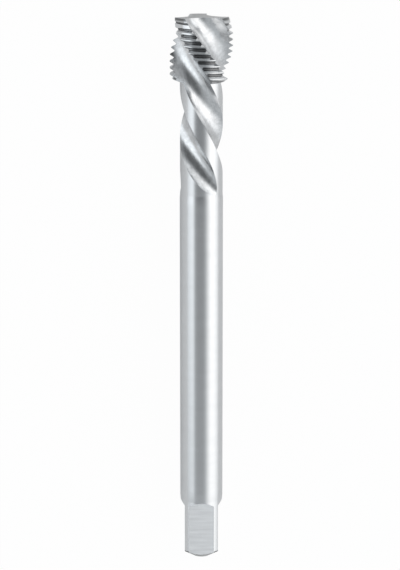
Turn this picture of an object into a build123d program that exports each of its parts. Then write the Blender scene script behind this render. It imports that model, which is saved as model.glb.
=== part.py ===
"""Machine tap with spiral flutes for a left-hand M10 x 1 blind hole.

The tap is ground from one bar of tool steel: a threaded head with a short chamfer lead,
a plain shank thinner than the thread, three left-hand flutes that run past the head into
the shank, and a square drive.  The neck between the flutes and the corners of the square
are relieved a few hundredths below the shank.  The tap is built upright, square end on the
XY plane and axis on Z, and is then laid on its side, rolled as it comes to rest.

Azimuths are measured about the tool axis from the local X axis towards the local Y axis.
All lengths are in millimetres and all angles in degrees.
"""

from build123d import *

import os
from math import asin, ceil, degrees, radians, sqrt, tan

# ---------------------------------------------------------------- driving dimensions

overall_length = 90.0

# threaded head
nominal_diameter = 10.0
crest_allowance = 0.1             # the crests stand this much over the nominal diameter
thread_pitch = 1.0
thread_flank_angle = 60.0         # included angle of the groove
thread_crest_flat = 0.125         # width of the land left at each crest
thread_root_flat = 0.16           # width of the bottom of the groove
thread_start_depth = 0.1          # first groove below the front face, at azimuth 0
head_length = 9.75                # full diameter of the head ends here
head_back_taper_length = 0.65     # cone from the crests down to the neck
lead_length = 2.5                 # chamfer over the first threads
lead_depth = 0.65                 # drop of the lead cone from the crests at the front face

# neck, shank and square drive
neck_relief = 0.06                # the fluted neck is ground this much below the shank
shank_diameter = 7.0
corner_relief = 0.05              # and so are the corners of the square
relief_taper_length = 0.6         # axial length of the cone down to each relief
square_across_flats = 5.5
square_length = 9.2               # length of the flats at full depth
square_runout_length = 0.8        # ramp from each flat out to the shank
end_face_diameter = 2.7
end_cone_angle = 30.0             # slope of the end cone above the end face

# lying on a table, the tap rolls this far before the crests of two lands carry it
resting_roll = 11.5               # from one flat of the square level on top

# flutes
flute_count = 3
flute_lead = 38.0                 # axial length of one whole turn
flute_tip_azimuth = -83.9         # middle of the first flute at the front face
core_diameter = 3.74
flute_radius = 3.72               # one round hollow, which hooks the cutting edges by 12 degrees
flute_length = 28.35              # front face to the point where a flute leaves the neck
flute_wheel_radius = 15.0         # radius of the run-out, measured along the tool axis
neck_overrun = 0.2                # the relieved neck ends this far behind the flutes

# cutting tools overshoot the bar by these amounts
overshoot = 1.0
flute_overshoot = 0.5             # the hollow is closed this far outside the thread crests
groove_overshoot = 0.06           # less than half the crest flat, so turns stay apart
flute_section_spacing = 1.5       # axial step between the lofted flute sections

# ---------------------------------------------------------------- derived dimensions

crest_radius = nominal_diameter / 2 + crest_allowance / 2
shank_radius = shank_diameter / 2
neck_radius = shank_radius - neck_relief
corner_radius = shank_radius - corner_relief
core_radius = core_diameter / 2
half_square = square_across_flats / 2

half_flank = radians(thread_flank_angle / 2)
groove_crest_width = thread_pitch - thread_crest_flat
groove_depth = (groove_crest_width - thread_root_flat) / 2 / tan(half_flank)
root_radius = crest_radius - groove_depth
groove_start = overall_length - thread_start_depth

end_face_radius = end_face_diameter / 2
end_cone_height = (corner_radius - end_face_radius) * tan(radians(end_cone_angle))
corner_top = square_length + square_runout_length

flute_centre_radius = core_radius + flute_radius
flute_mouth_radius = crest_radius + flute_overshoot
flute_half_arc = 90 + degrees(asin((flute_mouth_radius - flute_centre_radius) / flute_radius))
neck_back = overall_length - flute_length - neck_overrun
head_back = overall_length - head_length
neck_front = head_back - head_back_taper_length
lead_end = overall_length - lead_length
lead_front_radius = crest_radius - lead_depth
groove_turns = ceil((groove_start - neck_front) / thread_pitch) + 1


# ---------------------------------------------------------------- thread groove


def make_groove_turn():
    """One turn of the left-hand thread groove, starting and ending at azimuth 0."""
    mouth_radius = crest_radius + groove_overshoot
    mouth_half_width = groove_crest_width / 2 + groove_overshoot * tan(half_flank)
    with BuildPart() as turn:
        with BuildLine(mode=Mode.PRIVATE) as path:
            Helix(pitch=thread_pitch, height=thread_pitch, radius=crest_radius, lefthand=True)
        with BuildSketch(Plane.XZ):
            with BuildLine():
                Polyline(
                    (root_radius, -thread_root_flat / 2),
                    (mouth_radius, -mouth_half_width),
                    (mouth_radius, mouth_half_width),
                    (root_radius, thread_root_flat / 2),
                    close=True,
                )
            make_face()
        sweep(path=path.line, is_frenet=True)
    return turn.part


# ---------------------------------------------------------------- flute


def flute_lift(depth):
    """Rise of the flute floor, at a depth below the front face, where the wheel leaves."""
    cut_depth = neck_radius - core_radius
    runout_length = sqrt(2 * flute_wheel_radius * cut_depth - cut_depth**2)
    past = max(0.0, depth - (flute_length - runout_length))
    return flute_wheel_radius - sqrt(flute_wheel_radius**2 - past**2)


def make_flute():
    """Cutter for one flute: a half-round bar wound with the left-hand lead around the core."""
    last_depth = flute_length + overshoot
    steps = round((last_depth + overshoot) / flute_section_spacing)
    with BuildPart() as flute:
        for step in range(steps + 1):
            depth = -overshoot + (last_depth + overshoot) * step / steps
            azimuth = flute_tip_azimuth + 360 * depth / flute_lead
            section = Plane.XY.offset(overall_length - depth).rotated((0, 0, azimuth))
            centre = (flute_centre_radius + flute_lift(depth), 0)
            with BuildSketch(section):
                with BuildLine():
                    hollow = CenterArc(centre, flute_radius, 180 - flute_half_arc, 2 * flute_half_arc)
                    Line(hollow @ 1, hollow @ 0)
                make_face()
        loft()
    return flute.part


# ---------------------------------------------------------------- square drive


def make_square_cut():
    """Cutter for one flat of the square drive, with the ramp where it runs out."""
    outside = shank_radius + overshoot
    ramp_slope = square_runout_length / (shank_radius - half_square)
    ramp_top = square_length + ramp_slope * (outside - half_square)
    with BuildPart() as cut:
        with BuildSketch(Plane.XZ):
            with BuildLine():
                Polyline(
                    (half_square, -overshoot),
                    (outside, -overshoot),
                    (outside, ramp_top),
                    (half_square, square_length),
                    close=True,
                )
            make_face()
        extrude(amount=shank_radius, both=True)
    return cut.part


# ---------------------------------------------------------------- tap

with BuildPart() as upright:
    # turned blank: end cone, corners, shank, neck, cone behind the head, head and lead
    with BuildSketch(Plane.XZ):
        with BuildLine():
            Polyline(
                (0, 0),
                (end_face_radius, 0),
                (corner_radius, end_cone_height),
                (corner_radius, corner_top),
                (shank_radius, corner_top + relief_taper_length),
                (shank_radius, neck_back - relief_taper_length),
                (neck_radius, neck_back),
                (neck_radius, neck_front),
                (crest_radius, head_back),
                (crest_radius, lead_end),
                (lead_front_radius, overall_length),
                (0, overall_length),
                close=True,
            )
        make_face()
    revolve(axis=Axis.Z)

    # the thread is cut one turn at a time, from beyond the front face to behind the head
    groove_turn = make_groove_turn()
    for turn in range(groove_turns):
        with Locations((0, 0, groove_start - turn * thread_pitch)):
            add(groove_turn, mode=Mode.SUBTRACT)

    with PolarLocations(0, flute_count):
        add(make_flute(), mode=Mode.SUBTRACT)

    with PolarLocations(0, 4):
        add(make_square_cut(), mode=Mode.SUBTRACT)

# laid on its side: axis along X, tip towards +X, resting on the thread crests
level = Plane(origin=(-overall_length / 2, 0, crest_radius), x_dir=(0, -1, 0), z_dir=(1, 0, 0))
lying = level.location * Rot(Z=-resting_roll)
with BuildPart() as tap_body:
    with Locations(lying):
        add(upright.part)

tap_body.part.label = "tap_body"
os.makedirs("parts", exist_ok=True)
export_step(tap_body.part, "parts/tap_body.step")
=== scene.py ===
"""Ground steel thread tap: finely modelled body, ground finishes and a plain studio.

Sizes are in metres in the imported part's own frame: the tool lies along X with its threaded
front face at +X, rolled as it comes to rest, so the square's top flat leans from +Z towards +Y.
Depth is measured along the tool from the front face towards the square.  Azimuth is measured
about the tool from the middle of the square's flat on the -Y side, and grows towards the floor.
"""

from math import acos, atan2, ceil, cos, degrees, pi, radians, sin, sqrt, tan

import bmesh
import bpy
from bpy.props import FloatProperty, FloatVectorProperty, IntProperty, PointerProperty
from mathutils import Matrix, Vector


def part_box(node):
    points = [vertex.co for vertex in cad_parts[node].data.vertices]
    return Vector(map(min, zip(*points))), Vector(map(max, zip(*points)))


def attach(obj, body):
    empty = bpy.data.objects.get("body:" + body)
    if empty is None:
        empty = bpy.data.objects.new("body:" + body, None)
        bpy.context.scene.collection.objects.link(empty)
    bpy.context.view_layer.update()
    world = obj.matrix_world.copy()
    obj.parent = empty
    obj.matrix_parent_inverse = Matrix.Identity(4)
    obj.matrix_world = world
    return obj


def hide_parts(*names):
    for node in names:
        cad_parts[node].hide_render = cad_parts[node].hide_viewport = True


bl_info = {
    "name": "Ground Thread Tap",
    "version": (1, 0, 0),
    "blender": (4, 5, 0),
    "location": "3D View > Sidebar > Thread Tap",
    "description": "Builds a spiral-flute thread tap with ground steel finishes and a studio stage",
    "category": "Object",
}

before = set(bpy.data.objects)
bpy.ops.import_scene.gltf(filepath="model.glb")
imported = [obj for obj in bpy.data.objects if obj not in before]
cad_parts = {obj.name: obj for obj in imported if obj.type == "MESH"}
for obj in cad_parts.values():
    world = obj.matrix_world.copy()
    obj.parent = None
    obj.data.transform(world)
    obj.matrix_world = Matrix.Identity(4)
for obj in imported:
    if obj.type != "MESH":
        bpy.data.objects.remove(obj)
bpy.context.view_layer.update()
TAP_LOW, TAP_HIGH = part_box("tap_body")
IMAGE_WIDTH = 400
IMAGE_HEIGHT = 570


# ---------------------------------------------------------------- sizes and colours


class TapBodySizes(bpy.types.PropertyGroup):
    """Sizes of the tap, as it was ground."""

    length: FloatProperty(
        name="Length", description="Front face to end face",
        default=TAP_HIGH.x - TAP_LOW.x, unit="LENGTH")
    crest_radius: FloatProperty(
        name="Crest Radius", description="Radius over the thread crests, and height of the axis",
        default=0.00505, unit="LENGTH")
    pitch: FloatProperty(
        name="Pitch", description="Axial distance between two crests", default=0.001, unit="LENGTH")
    flank_angle: FloatProperty(
        name="Flank Angle", description="Included angle of the thread groove",
        default=radians(60), subtype="ANGLE")
    crest_flat: FloatProperty(
        name="Crest Flat", description="Width of the land left at a crest",
        default=0.000125, unit="LENGTH")
    root_flat: FloatProperty(
        name="Root Flat", description="Width of the bottom of the groove",
        default=0.00016, unit="LENGTH")
    thread_start: FloatProperty(
        name="Thread Start", description="Depth of the first groove at azimuth zero",
        default=0.0001, unit="LENGTH")
    lead_length: FloatProperty(
        name="Lead Length", description="Chamfer over the first threads",
        default=0.0025, unit="LENGTH")
    lead_depth: FloatProperty(
        name="Lead Depth", description="Drop of the lead cone at the front face",
        default=0.00065, unit="LENGTH")
    head_length: FloatProperty(
        name="Head Length", description="Depth where the full thread diameter ends",
        default=0.00975, unit="LENGTH")
    head_taper: FloatProperty(
        name="Head Taper", description="Length of the cone behind the head",
        default=0.00065, unit="LENGTH")
    neck_radius: FloatProperty(
        name="Neck Radius", description="Radius of the fluted neck", default=0.00344, unit="LENGTH")
    shank_radius: FloatProperty(
        name="Shank Radius", description="Radius of the plain shank", default=0.0035, unit="LENGTH")
    corner_radius: FloatProperty(
        name="Corner Radius", description="Radius over the corners of the square",
        default=0.00345, unit="LENGTH")
    relief_taper: FloatProperty(
        name="Relief Taper", description="Length of the small cone at each relief",
        default=0.0006, unit="LENGTH")
    half_square: FloatProperty(
        name="Half Square", description="Axis to one flat of the square",
        default=0.00275, unit="LENGTH")
    square_length: FloatProperty(
        name="Square Length", description="Length of the flats at full depth",
        default=0.0092, unit="LENGTH")
    square_runout: FloatProperty(
        name="Square Run-out", description="Axial length of the ramp above each flat",
        default=0.0008, unit="LENGTH")
    end_face_radius: FloatProperty(
        name="End Face Radius", description="Radius of the flat end face",
        default=0.00135, unit="LENGTH")
    end_cone_angle: FloatProperty(
        name="End Cone Angle", description="Slope of the end cone above the end face",
        default=radians(30), subtype="ANGLE")
    resting_roll: FloatProperty(
        name="Resting Roll", description="Lean of the square's top flat, as the tap comes to rest",
        default=radians(11.5), subtype="ANGLE")
    flute_count: IntProperty(name="Flutes", description="Number of flutes", default=3, min=1)
    flute_lead: FloatProperty(
        name="Flute Lead", description="Axial length of one whole turn",
        default=0.038, unit="LENGTH")
    flute_tip_azimuth: FloatProperty(
        name="Flute Tip Azimuth", description="Middle of the first flute at the front face",
        default=radians(-83.9), subtype="ANGLE")
    core_radius: FloatProperty(
        name="Core Radius", description="Radius of the core left between the flutes",
        default=0.00187, unit="LENGTH")
    flute_radius: FloatProperty(
        name="Flute Radius", description="Radius of a flute's round hollow",
        default=0.00372, unit="LENGTH")
    flute_length: FloatProperty(
        name="Flute Length", description="Depth where a flute leaves the neck",
        default=0.02835, unit="LENGTH")
    wheel_radius: FloatProperty(
        name="Wheel Radius", description="Radius of the run-out along the axis",
        default=0.015, unit="LENGTH")
    neck_overrun: FloatProperty(
        name="Neck Overrun", description="The neck ends this far behind the flutes",
        default=0.0002, unit="LENGTH")


class TapFinishSettings(bpy.types.PropertyGroup):
    """Colours and grinding marks of the bare steel."""

    steel: FloatVectorProperty(
        name="Steel", description="Colour of the ground steel", subtype="COLOR",
        default=(0.66, 0.665, 0.67), min=0, max=1)
    square_steel: FloatVectorProperty(
        name="Square Steel", description="Colour of the matte milled square", subtype="COLOR",
        default=(0.92, 0.925, 0.93), min=0, max=1)
    # painted shade: the end cone gets a darker colour than the ground steel
    end_steel: FloatVectorProperty(
        name="End Steel", description="Colour of the end cone, which keeps its hardening scale",
        subtype="COLOR", default=(0.45, 0.45, 0.44), min=0, max=1)
    # painted shade, darkening the end's outer corners in colour
    corner_painted_shade: FloatProperty(
        name="Corner Painted Shade", description="How far scale darkens the end's outer corners",
        default=0.85, min=0, max=1, subtype="FACTOR")
    shank_roughness: FloatProperty(
        name="Shank Roughness", description="Roughness of the ground shank",
        default=0.21, min=0, max=1, subtype="FACTOR")
    shank_anisotropy: FloatProperty(
        name="Shank Grain", description="How far the rings spread the gloss along the tool",
        default=0.6, min=0, max=1, subtype="FACTOR")
    thread_roughness: FloatProperty(
        name="Thread Roughness", description="Roughness of the ground thread",
        default=0.12, min=0, max=1, subtype="FACTOR")
    # painted shade: the groove bottoms are darkened in colour
    root_shade: FloatProperty(
        name="Root Shade", description="How far the bottom of the groove is darkened",
        default=0.72, min=0, max=1, subtype="FACTOR")
    flute_roughness: FloatProperty(
        name="Flute Roughness", description="Roughness of the ground flutes",
        default=0.21, min=0, max=1, subtype="FACTOR")
    flute_line_depth: FloatProperty(
        name="Flute Line Depth", description="Height of the lines that the wheel leaves",
        default=0.000002, unit="LENGTH")
    flute_waviness: FloatProperty(
        name="Flute Waviness", description="Height of the flutes' soft waves, in line depths",
        default=12.0)
    stain_depth: FloatProperty(
        name="Stains", description="How far oil stains darken and lighten the flutes",
        default=0.2, min=0, max=1, subtype="FACTOR")
    square_roughness: FloatProperty(
        name="Square Roughness", description="Roughness of the milled square",
        default=0.62, min=0, max=1, subtype="FACTOR")


class TapStudioSettings(bpy.types.PropertyGroup):
    """Camera place and light levels."""

    camera_pitch: FloatProperty(
        name="Camera Pitch", description="Lean of the view from straight above towards the tip",
        default=radians(13.1), subtype="ANGLE")
    camera_lean: FloatProperty(
        name="Camera Lean", description="Lean of the view sideways, which faces the square's flat",
        default=radians(11.5), subtype="ANGLE")
    camera_distance: FloatProperty(
        name="Camera Distance", description="Camera to the middle of the tool",
        default=0.372, unit="LENGTH")
    focal_pixels: FloatProperty(
        name="Focal Length in Pixels", description="Focal length in pixels of the image",
        default=2278.5, subtype="PIXEL")
    centre_column: FloatProperty(
        name="Centre Column", description="Image column of the middle of the tool",
        default=201.35, subtype="PIXEL")
    centre_row: FloatProperty(
        name="Centre Row", description="Image row of the middle of the tool",
        default=292.5, subtype="PIXEL")
    right_light: FloatProperty(
        name="Right Light", description="Extra brightness of the panel on the right", default=1.05)
    left_light: FloatProperty(
        name="Left Light", description="Extra brightness of the panel on the left", default=0.98)
    sky_level: FloatProperty(
        name="Sky Level", description="Brightness of the room", default=0.6)
    sky_colour: FloatVectorProperty(
        name="Sky Colour", description="Cool colour of the room, except on the right",
        subtype="COLOR", default=(0.92, 0.965, 1.0), min=0, max=1)
    ceiling_shade: FloatProperty(
        name="Ceiling Shade", description="How far the ceiling between the panels is darkened",
        default=0.74, min=0, max=1, subtype="FACTOR")
    tip_gap_shade: FloatProperty(
        name="Tip Gap Shade", description="How far the gap low beyond the tip is darkened",
        default=0.95, min=0, max=1, subtype="FACTOR")
    floor_glow: FloatProperty(
        name="Floor Glow", description="Share of plain white that the camera sees in the floor",
        default=0.97, min=0, max=1, subtype="FACTOR")
    floor_glow_in_metal: FloatProperty(
        name="Floor Glow in Metal", description="Share of plain white that metal mirrors",
        default=0.2, min=0, max=1, subtype="FACTOR")
    floor_colour: FloatVectorProperty(
        name="Floor Colour", description="Colour of the floor", subtype="COLOR",
        default=(0.9, 0.9, 0.9), min=0, max=1)


# ---------------------------------------------------------------- form of the tap

EDGE_TRIES = 6              # a land's edge depends on its own radius, and settles in these


class TapForm:
    """The tap's surface, as formulas over depth and azimuth."""

    def __init__(self, sizes):
        self.s = sizes
        s = sizes
        self.flank_run = tan(s.flank_angle / 2)
        self.groove_depth = (s.pitch - s.crest_flat - s.root_flat) / 2 / self.flank_run
        self.root_radius = s.crest_radius - self.groove_depth
        self.flute_reach = s.core_radius + s.flute_radius
        self.neck_front = s.head_length + s.head_taper
        self.neck_back = s.flute_length + s.neck_overrun
        cut = s.neck_radius - s.core_radius
        self.runout_length = sqrt(2 * s.wheel_radius * cut - cut**2)
        self.ramp_slope = (s.shank_radius - s.half_square) / s.square_runout
        self.corner_top = s.square_length + s.square_runout
        self.end_cone_height = (s.corner_radius - s.end_face_radius) * tan(s.end_cone_angle)

    def head_radius(self, depth):
        """Radius of the turned blank over the head and the neck."""
        s = self.s
        if depth < s.lead_length:
            return s.crest_radius - s.lead_depth * (1 - depth / s.lead_length)
        if depth <= s.head_length:
            return s.crest_radius
        share = min(1, (depth - s.head_length) / s.head_taper)
        return s.crest_radius + (s.neck_radius - s.crest_radius) * share

    def groove_centre(self, turn, azimuth):
        """Depth of a turn of the left-hand groove at an azimuth."""
        return self.s.thread_start + self.s.pitch * (turn + azimuth / (2 * pi))

    def land_radius(self, depth, azimuth):
        """Radius of a land: the blank, or the groove where that lies deeper."""
        s = self.s
        turn = (depth - self.groove_centre(0, azimuth)) / s.pitch
        offset = abs(turn - round(turn)) * s.pitch
        groove = self.root_radius + max(0, offset - s.root_flat / 2) / self.flank_run
        return min(self.head_radius(depth), groove)

    def flute_azimuth(self, depth, flute):
        """Azimuth of the middle of a flute, which winds with the left-hand lead."""
        s = self.s
        turn = depth / s.flute_lead + flute / s.flute_count
        return s.flute_tip_azimuth + 2 * pi * turn

    def hollow_centre(self, depth):
        """Radius of a hollow's centre: it rises where the wheel runs out."""
        s = self.s
        past = max(0, depth - (s.flute_length - self.runout_length))
        past = min(past, s.wheel_radius)
        return self.flute_reach + s.wheel_radius - sqrt(s.wheel_radius**2 - past**2)

    def half_opening(self, depth, radius):
        """Half the angle that a hollow opens at a radius."""
        centre = self.hollow_centre(depth)
        hollow = self.s.flute_radius
        if centre - hollow >= radius:
            return 0
        return acos(min(1, (centre**2 - hollow**2 + radius**2) / (2 * centre * radius)))

    def land_edge(self, depth, flute, side):
        """Azimuth and radius of the edge between a flute and the land on one side of it."""
        middle = self.flute_azimuth(depth, flute)
        radius = self.head_radius(depth)
        for _ in range(EDGE_TRIES):
            azimuth = middle + side * self.half_opening(depth, radius)
            radius = self.land_radius(depth, azimuth)
        return azimuth, radius

    def flute_point(self, depth, flute, share):
        """Azimuth and radius on a flute's hollow, for a share of 0 to 1 across it."""
        middle = self.flute_azimuth(depth, flute)
        centre = self.hollow_centre(depth)
        hollow = self.s.flute_radius
        swings = []
        for side in (-1, 1):
            azimuth, radius = self.land_edge(depth, flute, side)
            if centre - hollow >= radius:
                return middle, self.land_radius(depth, middle)
            swing = acos((centre**2 + hollow**2 - radius**2) / (2 * centre * hollow))
            swings.append(side * swing)
        swing = swings[0] + (swings[1] - swings[0]) * share
        along = centre - hollow * cos(swing)
        across = hollow * sin(swing)
        return middle + atan2(across, along), sqrt(along**2 + across**2)

    def end_radius(self, height):
        """Radius of the blank over the shank and the square, by height above the end face."""
        s = self.s
        if height < self.end_cone_height:
            return s.end_face_radius + height / tan(s.end_cone_angle)
        share = (height - self.corner_top) / s.relief_taper
        share = min(1, max(0, share))
        return s.corner_radius + (s.shank_radius - s.corner_radius) * share

    def flat_distance(self, height):
        """Distance of a flat of the square from the axis."""
        return self.s.half_square + max(0, height - self.s.square_length) * self.ramp_slope

    def place(self, depth, azimuth, radius):
        """Point in the part's frame, where the tap lies rolled."""
        turned = azimuth - self.s.resting_roll
        return Vector((
            TAP_HIGH.x - depth,
            -radius * cos(turned),
            self.s.crest_radius - radius * sin(turned),
        ))


# ---------------------------------------------------------------- mesh of the tap

# columns of faces around the tool
LAND_COLUMNS = 16
FLUTE_COLUMNS = 34
CORNER_COLUMNS = 20
FLAT_COLUMNS = 12

# rows of faces along the tool
FLANK_ROWS = 3              # on each flank of the thread groove
TURNS_BEFORE = 3            # turns of thread built past the front face, and cut off there
TURNS_AFTER = 2             # and past the neck
SHANK_ROWS = 40
RAMP_ROWS = 12
FLAT_ROWS = 10
CONE_ROWS = 12              # of the end cone, down to where it meets the flats
END_ROWS = 4                # and from there to the end face

# a row of the thread follows the groove's edge, whose depth and azimuth depend on each other
ROW_TRIES = 5
COLUMN_TRIES = 16
CLOSE_ENOUGH = 1e-9
SHALLOWEST_GROOVE = 0.15    # share of its depth that the groove keeps on the lead cone

WELD = 2e-7                 # points closer than this are one
CUT_TOLERANCE = 1e-7
RING_TOLERANCE = 1e-6
SHARP_EDGE = radians(16)    # edges that turn more than this stay crisp
FLAT_CLEARANCE = 2e-5       # a face this close to a flat or to the round blank lies on it
HOLLOW_CLEARANCE = 1e-5     # and this close to a hollow's wall, it belongs to the flute


def head_columns(form):
    """Columns of faces once around the head and the neck."""
    return form.s.flute_count * (LAND_COLUMNS + FLUTE_COLUMNS)


def column_place(form, column, depth):
    """Azimuth and radius at a whole or broken column number of the threaded and fluted part."""
    period = LAND_COLUMNS + FLUTE_COLUMNS
    flute = int(column // period)
    inside = column - flute * period
    if inside <= FLUTE_COLUMNS:
        return form.flute_point(depth, flute, inside / FLUTE_COLUMNS)
    share = (inside - FLUTE_COLUMNS) / LAND_COLUMNS
    start = form.land_edge(depth, flute, 1)[0]
    end = form.land_edge(depth, flute + 1, -1)[0]
    azimuth = start + (end - start) * share
    return azimuth, form.land_radius(depth, azimuth)


def thread_rows():
    """Rows of one turn of the thread: what they lie on, the side, and the share up the flank."""
    rows = []
    for step in range(FLANK_ROWS + 1):
        rows.append(("flank", -1, 1 - step / FLANK_ROWS))
    for step in range(FLANK_ROWS + 1):
        rows.append(("flank", 1, step / FLANK_ROWS))
    rows.append(("crest", 1, 0.5))
    return rows


def row_depth(form, row, turn, azimuth):
    """Depth of a row at an azimuth: it follows the groove's edges, also on the lead cone."""
    s = form.s
    kind, side, share = row
    centre = form.groove_centre(turn, azimuth)
    if kind == "crest":
        return centre + s.pitch / 2
    edge = s.root_flat / 2 + form.groove_depth * form.flank_run
    for _ in range(ROW_TRIES):
        depth = centre + side * edge
        drop = s.lead_depth * (1 - depth / s.lead_length) if depth < s.lead_length else 0
        height = max(SHALLOWEST_GROOVE * form.groove_depth, form.groove_depth - drop)
        edge = s.root_flat / 2 + height * form.flank_run
    return centre + side * (s.root_flat / 2 + (edge - s.root_flat / 2) * share)


def settled_depth(form, row, turn, column):
    """Depth where a row of the thread crosses a column, whose azimuth changes with depth."""
    depth = (turn + 0.5) * form.s.pitch
    for _ in range(COLUMN_TRIES):
        azimuth = column_place(form, column, max(0, depth))[0]
        last = depth
        depth = row_depth(form, row, turn, azimuth)
        if abs(depth - last) < CLOSE_ENOUGH:
            break
    return depth


def build_head(form, last_depth):
    """Sheet over column and depth, with rows along the thread, from before the front face
    to last_depth. It is cut at the depths of the turned edges, so those come out sharp,
    and is wrapped around the tool afterwards."""
    s = form.s
    first_turn = -TURNS_BEFORE
    last_turn = int(ceil(last_depth / s.pitch)) + TURNS_AFTER
    sheet = bmesh.new()
    grid = []
    for turn in range(first_turn, last_turn):
        for row in thread_rows():
            line = []
            for column in range(head_columns(form) + 1):
                depth = settled_depth(form, row, turn, column)
                line.append(sheet.verts.new((column, depth, 0)))
            grid.append(line)
    for near, far in zip(grid, grid[1:]):
        for a, b, c, d in zip(near, near[1:], far[1:], far):
            sheet.faces.new((a, b, c, d))
    cuts = (0, s.lead_length, s.head_length, form.neck_front, last_depth)
    for cut in cuts:
        everything = sheet.verts[:] + sheet.edges[:] + sheet.faces[:]
        bmesh.ops.bisect_plane(
            sheet, geom=everything, dist=CUT_TOLERANCE, plane_co=(0, cut, 0), plane_no=(0, 1, 0),
            clear_inner=cut == cuts[0], clear_outer=cut == cuts[-1])
    return sheet


def wrap_head(form, sheet):
    """Wraps the sheet around the tool and closes its seam."""
    last_column = head_columns(form)
    for vert in sheet.verts:
        depth = max(0, vert.co.y)
        azimuth, radius = column_place(form, min(vert.co.x, last_column), depth)
        vert.co = form.place(vert.co.y, azimuth, radius)
    bmesh.ops.remove_doubles(sheet, verts=sheet.verts, dist=WELD)
    bmesh.ops.dissolve_degenerate(sheet, edges=sheet.edges, dist=WELD)


def shank_heights(form, first_depth):
    """Heights of the rings above the end face, from the shank down to the end face. They are
    close where a flat fades out, because its width changes fast there."""
    s = form.s
    first = s.length - first_depth
    span = first - (form.corner_top + s.relief_taper)
    heights = [first - span * step / SHANK_ROWS for step in range(SHANK_ROWS + 1)]
    heights.append(form.corner_top)
    for step in range(1, RAMP_ROWS + 1):
        eased = 1 - cos(pi / 2 * step / RAMP_ROWS)
        heights.append(form.corner_top - s.square_runout * eased)
    span = s.square_length - form.end_cone_height
    for step in range(1, FLAT_ROWS + 1):
        heights.append(s.square_length - span * step / FLAT_ROWS)
    cone_meets_flat = (s.half_square - s.end_face_radius) * tan(s.end_cone_angle)
    span = form.end_cone_height - cone_meets_flat
    for step in range(1, CONE_ROWS + 1):
        heights.append(form.end_cone_height - span * sin(pi / 2 * step / CONE_ROWS))
    for step in range(1, END_ROWS + 1):
        heights.append(cone_meets_flat * (1 - step / END_ROWS))
    return heights


def shank_ring(form, height):
    """Points of one ring: four flats with the round corners between them, or a whole circle."""
    blank = form.end_radius(height)
    flat = form.flat_distance(height)
    half = acos(flat / blank) if flat < blank else 0
    depth = form.s.length - height
    points = []
    for side in range(4):
        middle = side * pi / 2
        for step in range(FLAT_COLUMNS):
            azimuth = 0
            radius = blank
            if half:
                across = -1 + 2 * step / FLAT_COLUMNS
                azimuth = atan2(across * blank * sin(half), flat)
                radius = flat / cos(azimuth)
            points.append(form.place(depth, middle + azimuth, radius))
        for step in range(CORNER_COLUMNS):
            azimuth = half + (pi / 2 - 2 * half) * step / CORNER_COLUMNS
            points.append(form.place(depth, middle + azimuth, blank))
    return points


def build_shank(form, mesh, first_depth):
    """Adds the shank and the square to the mesh, ring by ring down to the end face."""
    rings = []
    for height in shank_heights(form, first_depth):
        rings.append([mesh.verts.new(point) for point in shank_ring(form, height)])
    for near, far in zip(rings, rings[1:]):
        for i in range(len(near)):
            j = (i + 1) % len(near)
            mesh.faces.new((near[i], near[j], far[j], far[i]))
    bmesh.ops.remove_doubles(mesh, verts=mesh.verts, dist=WELD)


def open_ring(mesh, depth):
    """Edges of the mesh that lie at a depth and have one face only."""
    edges = []
    for edge in mesh.edges:
        if not edge.is_boundary:
            continue
        if all(abs(TAP_HIGH.x - vert.co.x - depth) < RING_TOLERANCE for vert in edge.verts):
            edges.append(edge)
    return edges


def end_finish(form, height, radius, azimuth):
    """Finish of a face on the square or the end."""
    s = form.s
    blank = form.end_radius(height)
    wall = max(abs(radius * cos(azimuth)), abs(radius * sin(azimuth)))
    on_flat = wall < form.flat_distance(height) + FLAT_CLEARANCE and radius > s.half_square
    if height < form.end_cone_height and radius < blank + FLAT_CLEARANCE:
        return SQUARE if on_flat and radius < blank - FLAT_CLEARANCE else END
    if radius > s.corner_radius - FLAT_CLEARANCE:
        return SHANK
    return SQUARE


def finish_at(form, point):
    """Finish of a face, by the place of its middle on the tool."""
    s = form.s
    depth = TAP_HIGH.x - point.x
    across = -point.y
    down = s.crest_radius - point.z
    radius = sqrt(across**2 + down**2)
    azimuth = atan2(down, across) + s.resting_roll
    if depth > s.length - form.corner_top:
        return end_finish(form, s.length - depth, radius, azimuth)
    for flute in range(s.flute_count):
        away = (azimuth - form.flute_azimuth(depth, flute) + pi) % (2 * pi) - pi
        along = form.hollow_centre(depth) - radius * cos(away)
        if sqrt(along**2 + (radius * sin(away))**2) < s.flute_radius + HOLLOW_CLEARANCE:
            return FLUTE
    return THREAD if depth < form.neck_front else SHANK


def build_body_mesh(form):
    """One closed mesh of the whole tap, with a finish for each face."""
    s = form.s
    shank_start = form.neck_back + s.relief_taper
    body = build_head(form, form.neck_back)
    wrap_head(form, body)
    build_shank(form, body, shank_start)
    bmesh.ops.bridge_loops(body, edges=open_ring(body, form.neck_back) + open_ring(body, shank_start))
    for depth in (0, s.length):
        bmesh.ops.holes_fill(body, edges=open_ring(body, depth), sides=0)
    bmesh.ops.recalc_face_normals(body, faces=body.faces)
    bmesh.ops.triangulate(body, faces=[face for face in body.faces if len(face.verts) > 4])
    for face in body.faces:
        face.smooth = True
        face.material_index = finish_at(form, face.calc_center_median())
    for edge in body.edges:
        if len(edge.link_faces) == 2 and edge.calc_face_angle() > SHARP_EDGE:
            edge.smooth = False
    mesh = bpy.data.meshes.new("ground_tap_body")
    body.to_mesh(mesh)
    body.free()
    return mesh


# ---------------------------------------------------------------- finishes


PAINTED_SHADE_START = 0.00022       # painted shade on the end's outer corners starts this far before the end cone
PAINTED_SHADE_FULL = 0.00008        # and is full here
PAINTED_SHADE_INNER_SHARE = 0.98    # it starts at this share of half the square
PAINTED_SHADE_OUTER_SHARE = 0.87    # and is full at this share of the corner radius
ROOT_SHADE_START = 0.2      # shares of the groove's depth above its root, where the painted groove shade starts and is full
ROOT_SHADE_FULL = 0.05
STAIN_SCALE = 900.0         # spots in a metre


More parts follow.
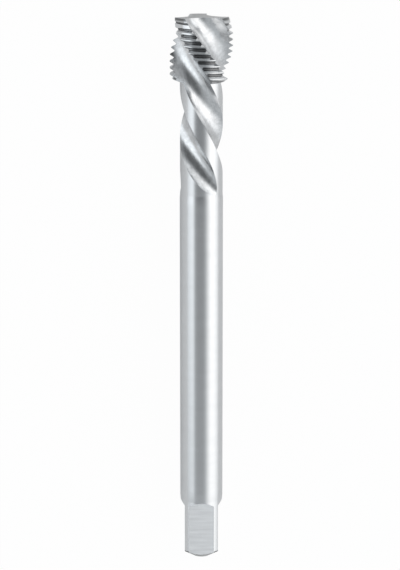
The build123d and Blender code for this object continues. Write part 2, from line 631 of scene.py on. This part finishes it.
class NodeMaker:
    """Adds math nodes to a tree, so that a formula reads as one."""

    def __init__(self, tree):
        self.tree = tree

    def add(self, kind, **settings):
        """New node with its settings."""
        node = self.tree.nodes.new(kind)
        for name, value in settings.items():
            setattr(node, name, value)
        return node

    def feed(self, socket, value):
        """Links a socket to another one, or sets its value."""
        if isinstance(value, bpy.types.NodeSocket):
            self.tree.links.new(value, socket)
        else:
            socket.default_value = value

    def math(self, operation, *values):
        """Result of a math node."""
        node = self.add("ShaderNodeMath", operation=operation)
        for socket, value in zip(node.inputs, values):
            self.feed(socket, value)
        return node.outputs["Value"]

    def ramp(self, value, low, high, smooth=True):
        """0 below low and 1 above high, or the other way round where low is the larger."""
        kind = "SMOOTHSTEP" if smooth else "LINEAR"
        node = self.add("ShaderNodeMapRange", interpolation_type=kind)
        node.clamp = True
        self.feed(node.inputs["Value"], value)
        flipped = low > high
        self.feed(node.inputs["From Min"], min(low, high))
        self.feed(node.inputs["From Max"], max(low, high))
        self.feed(node.inputs["To Min"], 1.0 if flipped else 0.0)
        self.feed(node.inputs["To Max"], 0.0 if flipped else 1.0)
        return node.outputs["Result"]

    def window(self, value, start, full, last, end):
        """Rises from start to full, and falls from last to end."""
        rise = self.ramp(value, start, full)
        fall = self.ramp(value, end, last)
        return self.math("MULTIPLY", rise, fall)


def new_group(name, inputs, outputs):
    """Node group with named sockets: inputs and outputs map a name to a socket type."""
    group = bpy.data.node_groups.new(name, "ShaderNodeTree")
    for label, kind in inputs.items():
        group.interface.new_socket(label, in_out="INPUT", socket_type=kind)
    for label, kind in outputs.items():
        group.interface.new_socket(label, in_out="OUTPUT", socket_type=kind)
    maker = NodeMaker(group)
    return group, maker, maker.add("NodeGroupInput"), maker.add("NodeGroupOutput")


def make_tool_place(sizes):
    """Group that turns a point into its depth, radius and azimuth on the tool. Both azimuths
    run up and down again, so no pattern breaks where a turn is full."""
    group, maker, given, result = new_group(
        "ToolPlace", {"Point": "NodeSocketVector"},
        {"Depth": "NodeSocketFloat", "Radius": "NodeSocketFloat", "Azimuth": "NodeSocketFloat",
         "Unwound": "NodeSocketFloat"})
    parts = maker.add("ShaderNodeSeparateXYZ")
    maker.feed(parts.inputs[0], given.outputs["Point"])
    depth = maker.math("SUBTRACT", TAP_HIGH.x, parts.outputs["X"])
    across = maker.math("MULTIPLY", parts.outputs["Y"], -1)
    down = maker.math("SUBTRACT", sizes.crest_radius, parts.outputs["Z"])
    radius = maker.math("SQRT", maker.math(
        "ADD", maker.math("MULTIPLY", across, across), maker.math("MULTIPLY", down, down)))
    azimuth = maker.math("ARCTAN2", down, across)
    turns = maker.math("MULTIPLY", depth, 2 * pi / sizes.flute_lead)
    maker.feed(result.inputs["Depth"], depth)
    maker.feed(result.inputs["Radius"], radius)
    maker.feed(result.inputs["Azimuth"], maker.math("ABSOLUTE", azimuth))
    unwound = maker.math("SUBTRACT", azimuth, turns)
    unwound = maker.math("SUBTRACT", unwound, sizes.flute_tip_azimuth - sizes.resting_roll)
    unwound = maker.math("PINGPONG", unwound, pi / sizes.flute_count)
    maker.feed(result.inputs["Unwound"], unwound)
    return group


def make_grinding_lines():
    """Group of fine scratches that run along one direction: a spread around 1, and a height."""
    group, maker, given, result = new_group(
        "GrindingLines",
        {"Across": "NodeSocketFloat", "Along": "NodeSocketFloat", "Strength": "NodeSocketFloat"},
        {"Spread": "NodeSocketFloat", "Height": "NodeSocketFloat"})
    place = maker.add("ShaderNodeCombineXYZ")
    maker.feed(place.inputs["X"], given.outputs["Across"])
    maker.feed(place.inputs["Y"], given.outputs["Along"])
    noise = maker.add("ShaderNodeTexNoise", noise_dimensions="2D")
    maker.feed(noise.inputs["Vector"], place.outputs["Vector"])
    maker.feed(noise.inputs["Scale"], 1.0)
    maker.feed(noise.inputs["Detail"], 3.0)
    maker.feed(noise.inputs["Roughness"], 0.6)
    swing = maker.math("MULTIPLY", maker.math("SUBTRACT", noise.outputs["Fac"], 0.5), 2)
    spread = maker.math("MULTIPLY", swing, given.outputs["Strength"])
    maker.feed(result.inputs["Spread"], maker.math("ADD", 1.0, spread))
    maker.feed(result.inputs["Height"], swing)
    return group


def make_stains():
    """Group of soft spots of dried oil: a level around 1, and a height."""
    group, maker, given, result = new_group(
        "Stains",
        {"Point": "NodeSocketVector", "Scale": "NodeSocketFloat", "Strength": "NodeSocketFloat"},
        {"Level": "NodeSocketFloat", "Height": "NodeSocketFloat"})
    noise = maker.add("ShaderNodeTexNoise")
    maker.feed(noise.inputs["Vector"], given.outputs["Point"])
    maker.feed(noise.inputs["Scale"], given.outputs["Scale"])
    maker.feed(noise.inputs["Detail"], 4.0)
    maker.feed(noise.inputs["Roughness"], 0.65)
    spot = maker.math("SUBTRACT", maker.ramp(noise.outputs["Fac"], 0.35, 0.65), 0.5)
    swing = maker.math("MULTIPLY", spot, given.outputs["Strength"])
    maker.feed(result.inputs["Level"], maker.math("SUBTRACT", 1.0, swing))
    maker.feed(result.inputs["Height"], noise.outputs["Fac"])
    return group


def make_painted_end_shade(sizes):
    """Group of painted shade that darkens the outer corners of the end in colour: it fades
    in just before the end cone, and from the flats out to the corners."""
    group, maker, given, result = new_group(
        "EndScale",
        {"Depth": "NodeSocketFloat", "Radius": "NodeSocketFloat", "Strength": "NodeSocketFloat"},
        {"Level": "NodeSocketFloat"})
    edge = sizes.length - TapForm(sizes).end_cone_height
    inner_radius = PAINTED_SHADE_INNER_SHARE * sizes.half_square
    outer_radius = PAINTED_SHADE_OUTER_SHARE * sizes.corner_radius
    outer = maker.ramp(given.outputs["Radius"], inner_radius, outer_radius)
    low = maker.ramp(given.outputs["Depth"], edge - PAINTED_SHADE_START, edge - PAINTED_SHADE_FULL)
    scale = maker.math("MULTIPLY", maker.math("MULTIPLY", outer, low), given.outputs["Strength"])
    maker.feed(result.inputs["Level"], maker.math("SUBTRACT", 1.0, scale))
    return group


def make_groove_shade(sizes):
    """Group of painted shade that darkens the bottom of the thread groove in colour."""
    group, maker, given, result = new_group(
        "GrooveShade", {"Radius": "NodeSocketFloat", "Shade": "NodeSocketFloat"},
        {"Level": "NodeSocketFloat"})
    form = TapForm(sizes)
    high = form.root_radius + ROOT_SHADE_START * form.groove_depth
    low = form.root_radius + ROOT_SHADE_FULL * form.groove_depth
    deep = maker.ramp(given.outputs["Radius"], high, low)
    shade = maker.math("MULTIPLY", deep, given.outputs["Shade"])
    maker.feed(result.inputs["Level"], maker.math("SUBTRACT", 1.0, shade))
    return group


class SteelMaker(NodeMaker):
    """One finish of the bare steel, with its place on the tool worked out."""

    def __init__(self, name, groups):
        self.material = bpy.data.materials.new(name)
        self.material.use_nodes = True
        super().__init__(self.material.node_tree)
        self.shader = self.tree.nodes["Principled BSDF"]
        self.shader.inputs["Metallic"].default_value = 1
        self.groups = groups
        self.point = self.add("ShaderNodeTexCoord").outputs["Object"]
        self.place = self.group("ToolPlace", Point=self.point)

    def group(self, name, **inputs):
        """Outputs of a shared node group, placed in this material with its own values."""
        node = self.add("ShaderNodeGroup", node_tree=self.groups[name])
        for label, value in inputs.items():
            self.feed(node.inputs[label], value)
        return node.outputs

    def lines(self, across, along, strength, across_scale, along_scale):
        """Scratches across one coordinate of the tool and along another."""
        return self.group(
            "GrindingLines", Across=self.math("MULTIPLY", across, across_scale),
            Along=self.math("MULTIPLY", along, along_scale), Strength=strength)

    def end_scale(self, strength):
        """Level of the painted shade on the end's corners at this point."""
        scale = self.group(
            "EndScale", Depth=self.place["Depth"], Radius=self.place["Radius"], Strength=strength)
        return scale["Level"]

    def colour(self, steel, level):
        """Steel colour, made lighter and darker by a level around 1."""
        tint = self.add("ShaderNodeVectorMath", operation="SCALE")
        tint.inputs[0].default_value = steel
        self.feed(tint.inputs["Scale"], level)
        self.feed(self.shader.inputs["Base Color"], tint.outputs["Vector"])

    def roughness(self, base, level):
        """Roughness, made more and less by a level around 1."""
        self.feed(self.shader.inputs["Roughness"], self.math("MULTIPLY", level, base))

    def bump(self, height, depth):
        """Relief of a height from 0 to 1, in metres of depth."""
        bump = self.add("ShaderNodeBump")
        bump.inputs["Distance"].default_value = depth
        bump.inputs["Strength"].default_value = 1.0
        self.feed(bump.inputs["Height"], height)
        self.feed(self.shader.inputs["Normal"], bump.outputs["Normal"])


def make_shank_steel(finish, groups):
    """Cylindrically ground: fine rings around the tool."""
    maker = SteelMaker("ground_shank", groups)
    place = maker.place
    rings = maker.lines(
        place["Depth"], place["Azimuth"], strength=0.12, across_scale=5000, along_scale=0.6)
    tone = maker.lines(
        place["Depth"], place["Azimuth"], strength=0.05, across_scale=700, along_scale=0.8)
    # painted shade, darkening the corners just before the end cone in colour
    scale = maker.end_scale(finish.corner_painted_shade)
    maker.colour(finish.steel, maker.math("MULTIPLY", tone["Spread"], scale))
    maker.roughness(finish.shank_roughness, rings["Spread"])
    maker.shader.inputs["Anisotropic"].default_value = finish.shank_anisotropy
    tangent = maker.add("ShaderNodeTangent", direction_type="RADIAL", axis="X")
    maker.feed(maker.shader.inputs["Tangent"], tangent.outputs["Tangent"])
    return maker.material


def make_thread_steel(finish, groups):
    """Ground thread: bright crests and flanks, and roots darkened by painted shade."""
    maker = SteelMaker("ground_thread", groups)
    place = maker.place
    shade = maker.group("GrooveShade", Radius=place["Radius"], Shade=finish.root_shade)
    maker.colour(finish.steel, shade["Level"])
    lines = maker.lines(
        place["Depth"], place["Azimuth"], strength=0.15, across_scale=6000, along_scale=2.0)
    maker.roughness(finish.thread_roughness, lines["Spread"])
    return maker.material


def make_flute_steel(finish, groups):
    """Ground flutes: the wheel leaves lines that run with the flute, and soft waves."""
    maker = SteelMaker("ground_flute", groups)
    place = maker.place
    lines = maker.lines(
        place["Unwound"], place["Depth"], strength=0.25, across_scale=9, along_scale=160)
    fine = maker.lines(
        place["Unwound"], place["Depth"], strength=0.10, across_scale=40, along_scale=120)
    stains = maker.group("Stains", Point=maker.point, Scale=STAIN_SCALE, Strength=finish.stain_depth)
    maker.colour(finish.steel, maker.math("MULTIPLY", fine["Spread"], stains["Level"]))
    maker.roughness(finish.flute_roughness, lines["Spread"])
    waves = maker.math("MULTIPLY", stains["Height"], finish.flute_waviness)
    maker.bump(maker.math("ADD", fine["Height"], waves), finish.flute_line_depth)
    return maker.material


def make_square_steel(finish, groups):
    """Milled square: matte, with marks across the flats."""
    maker = SteelMaker("milled_square", groups)
    place = maker.place
    marks = maker.lines(
        place["Depth"], place["Azimuth"], strength=0.12, across_scale=2200, along_scale=0.5)
    maker.colour(finish.square_steel, marks["Spread"])
    maker.roughness(finish.square_roughness, marks["Spread"])
    return maker.material


def make_end_steel(finish, groups):
    """End cone, in a darker colour than the steel that is darkest at the outer corners: painted
    shade.
    """
    maker = SteelMaker("end_painted_shade", groups)
    place = maker.place
    marks = maker.lines(
        place["Radius"], place["Azimuth"], strength=0.1, across_scale=2500, along_scale=0.8)
    scale = maker.end_scale(finish.corner_painted_shade)
    maker.colour(finish.end_steel, maker.math("MULTIPLY", marks["Spread"], scale))
    maker.roughness(finish.square_roughness, marks["Spread"])
    maker.shader.inputs["Metallic"].default_value = 0
    maker.shader.inputs["Specular IOR Level"].default_value = 0.2
    return maker.material


FINISHES = (make_thread_steel, make_flute_steel, make_shank_steel, make_square_steel, make_end_steel)
THREAD, FLUTE, SHANK, SQUARE, END = range(len(FINISHES))


def make_finishes(finish, sizes):
    """The five finishes of the tap, in the order of their numbers."""
    groups = {
        "ToolPlace": make_tool_place(sizes),
        "GrindingLines": make_grinding_lines(),
        "Stains": make_stains(),
        "EndScale": make_painted_end_shade(sizes),
        "GrooveShade": make_groove_shade(sizes),
    }
    return [make(finish, groups) for make in FINISHES]


# ---------------------------------------------------------------- stage

FLOOR_HALF_SIZE = 3
SENSOR_HEIGHT = 36
NEAREST_SEEN = 0.01
FURTHEST_SEEN = 10

# Soft panels of the room, in degrees: where each starts, is full, starts to fade and has ended.
# Side angles run across the tool from the middle of the view to its right, lean angles along
# the tool from straight above towards the tip.  The gap beyond the tip has no far end.
RIGHT_PANEL_SIDE = (12, 52, 66, 135)
RIGHT_PANEL_LEAN = (-85, 0, 22, 62)
LEFT_PANEL_SIDE = (-115, -48, -45, -33)
LEFT_PANEL_LEAN = (-34, -2, 38, 70)
CEILING_SIDE = (-44, -20, 2, 50)
CEILING_LEAN = (-34, 10, 32, 58)
TIP_GAP_SIDE = (-40, -15, 25, 50)
TIP_GAP_LEAN = (54, 64)


def make_world(studio):
    """Room of soft panels: one on each side of the tool, and a dark ceiling between them."""
    world = bpy.data.worlds.new("studio_room")
    bpy.context.scene.world = world
    world.use_nodes = True
    maker = NodeMaker(world.node_tree)
    place = maker.add("ShaderNodeTexCoord")
    parts = maker.add("ShaderNodeSeparateXYZ")
    maker.feed(parts.inputs[0], place.outputs["Generated"])
    along, across, height = parts.outputs
    side = maker.math("ARCTAN2", maker.math("MULTIPLY", across, -1), height)
    side = maker.math("ADD", maker.math("DEGREES", side), degrees(studio.camera_lean))
    lean = maker.math("DEGREES", maker.math("ARCSINE", along))

    def panel(side_angles, lean_angles):
        reach = maker.window(lean, *lean_angles)
        return maker.math("MULTIPLY", maker.window(side, *side_angles), reach)

    def shaded(level, mask, share):
        kept = maker.math("SUBTRACT", 1.0, maker.math("MULTIPLY", mask, share))
        return maker.math("MULTIPLY", level, kept)

    right = panel(RIGHT_PANEL_SIDE, RIGHT_PANEL_LEAN)
    left = panel(LEFT_PANEL_SIDE, LEFT_PANEL_LEAN)
    level = maker.math("MULTIPLY", right, studio.right_light)
    level = maker.math("ADD", level, maker.math("MULTIPLY", left, studio.left_light))
    level = maker.math("ADD", level, studio.sky_level)
    level = shaded(level, panel(CEILING_SIDE, CEILING_LEAN), studio.ceiling_shade)
    gap = maker.math("MULTIPLY", maker.window(side, *TIP_GAP_SIDE), maker.ramp(lean, *TIP_GAP_LEAN))
    level = shaded(level, gap, studio.tip_gap_shade)
    tint = maker.add("ShaderNodeMix", data_type="RGBA")
    maker.feed(tint.inputs["Factor"], right)
    maker.feed(tint.inputs["A"], (*studio.sky_colour, 1))
    maker.feed(tint.inputs["B"], (1, 1, 1, 1))
    background = world.node_tree.nodes["Background"]
    maker.feed(background.inputs["Color"], tint.outputs["Result"])
    maker.feed(background.inputs["Strength"], level)


def make_floor_white(studio):
    """Matte white that camera and metal see mostly as plain white, with a faint shadow."""
    material = bpy.data.materials.new("floor_white")
    material.use_nodes = True
    tree = material.node_tree
    shader = tree.nodes["Principled BSDF"]
    shader.inputs["Base Color"].default_value = (*studio.floor_colour, 1)
    shader.inputs["Roughness"].default_value = 0.9
    shader.inputs["Specular IOR Level"].default_value = 0
    maker = NodeMaker(tree)
    rays = maker.add("ShaderNodeLightPath").outputs
    in_metal = maker.math("MAXIMUM", rays["Is Glossy Ray"], rays["Is Transmission Ray"])
    in_metal = maker.math("MULTIPLY", in_metal, studio.floor_glow_in_metal)
    in_camera = maker.math("MULTIPLY", rays["Is Camera Ray"], studio.floor_glow)
    glow = maker.add("ShaderNodeEmission")
    glow.inputs["Color"].default_value = (1, 1, 1, 1)
    mix = maker.add("ShaderNodeMixShader")
    maker.feed(mix.inputs["Fac"], maker.math("MAXIMUM", in_camera, in_metal))
    tree.links.new(shader.outputs["BSDF"], mix.inputs[1])
    tree.links.new(glow.outputs["Emission"], mix.inputs[2])
    tree.links.new(mix.outputs["Shader"], tree.nodes["Material Output"].inputs["Surface"])
    return material


def build_floor(studio):
    """Plain floor that the tap lies on."""
    mesh = bpy.data.meshes.new("floor")
    sheet = bmesh.new()
    bmesh.ops.create_grid(sheet, x_segments=1, y_segments=1, size=FLOOR_HALF_SIZE)
    sheet.to_mesh(mesh)
    sheet.free()
    mesh.materials.append(make_floor_white(studio))
    floor = bpy.data.objects.new("floor", mesh)
    bpy.context.scene.collection.objects.link(floor)


def build_camera(studio):
    """Camera that looks down on the tap, with the tip at the top of the image."""
    data = bpy.data.cameras.new("camera")
    camera = bpy.data.objects.new("camera", data)
    bpy.context.scene.collection.objects.link(camera)
    aim = Vector((0, 0, bpy.context.scene.tap_body_sizes.crest_radius))
    pitch = studio.camera_pitch
    lean = studio.camera_lean
    sight = Vector((sin(pitch), cos(pitch) * sin(lean), cos(pitch) * cos(lean)))
    place = aim + sight * studio.camera_distance
    back = sight.normalized()
    up = (Vector((1, 0, 0)) - back * back.x).normalized()
    right = up.cross(back)
    camera.matrix_world = Matrix((
        (right.x, up.x, back.x, place.x),
        (right.y, up.y, back.y, place.y),
        (right.z, up.z, back.z, place.z),
        (0, 0, 0, 1)))
    data.sensor_fit = "VERTICAL"
    data.sensor_height = SENSOR_HEIGHT
    data.lens = data.sensor_height * studio.focal_pixels / IMAGE_HEIGHT
    data.shift_x = (IMAGE_WIDTH / 2 - studio.centre_column) / IMAGE_HEIGHT
    data.shift_y = (studio.centre_row - IMAGE_HEIGHT / 2) / IMAGE_HEIGHT
    data.clip_start = NEAREST_SEEN
    data.clip_end = FURTHEST_SEEN
    bpy.context.scene.camera = camera


# ---------------------------------------------------------------- operators and panel


class TAP_OT_build_body(bpy.types.Operator):
    """Build the tap body: thread, flutes, neck, shank and square in one mesh"""

    bl_idname = "tap.build_body"
    bl_label = "Build Tap Body"

    def execute(self, context):
        form = TapForm(context.scene.tap_body_sizes)
        mesh = build_body_mesh(form)
        body = bpy.data.objects.new("ground_tap_body", mesh)
        context.scene.collection.objects.link(body)
        for material in make_finishes(context.scene.tap_finish, context.scene.tap_body_sizes):
            mesh.materials.append(material)
        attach(body, "root")
        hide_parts("tap_body")
        return {"FINISHED"}


class TAP_OT_build_stage(bpy.types.Operator):
    """Build the floor, the room of soft panels and the camera"""

    bl_idname = "tap.build_stage"
    bl_label = "Build Stage"

    def execute(self, context):
        studio = context.scene.tap_studio
        build_floor(studio)
        make_world(studio)
        build_camera(studio)
        context.scene.view_settings.view_transform = "Standard"
        return {"FINISHED"}


class TAP_PT_panel(bpy.types.Panel):
    """Lists the steps that build the tap and its stage"""

    bl_idname = "TAP_PT_panel"
    bl_label = "Thread Tap"
    bl_space_type = "VIEW_3D"
    bl_region_type = "UI"
    bl_category = "Thread Tap"

    def draw(self, context):
        for operator in (TAP_OT_build_body, TAP_OT_build_stage):
            self.layout.operator(operator.bl_idname)


SETTINGS = {
    "tap_body_sizes": TapBodySizes,
    "tap_finish": TapFinishSettings,
    "tap_studio": TapStudioSettings,
}
CLASSES = (*SETTINGS.values(), TAP_OT_build_body, TAP_OT_build_stage, TAP_PT_panel)


def register():
    for cls in CLASSES:
        bpy.utils.register_class(cls)
    for name, settings in SETTINGS.items():
        setattr(bpy.types.Scene, name, PointerProperty(type=settings))


def unregister():
    for name in SETTINGS:
        delattr(bpy.types.Scene, name)
    for cls in reversed(CLASSES):
        bpy.utils.unregister_class(cls)


def main():
    register()
    bpy.ops.tap.build_body()
    bpy.ops.tap.build_stage()


if __name__ == "__main__":
    main()
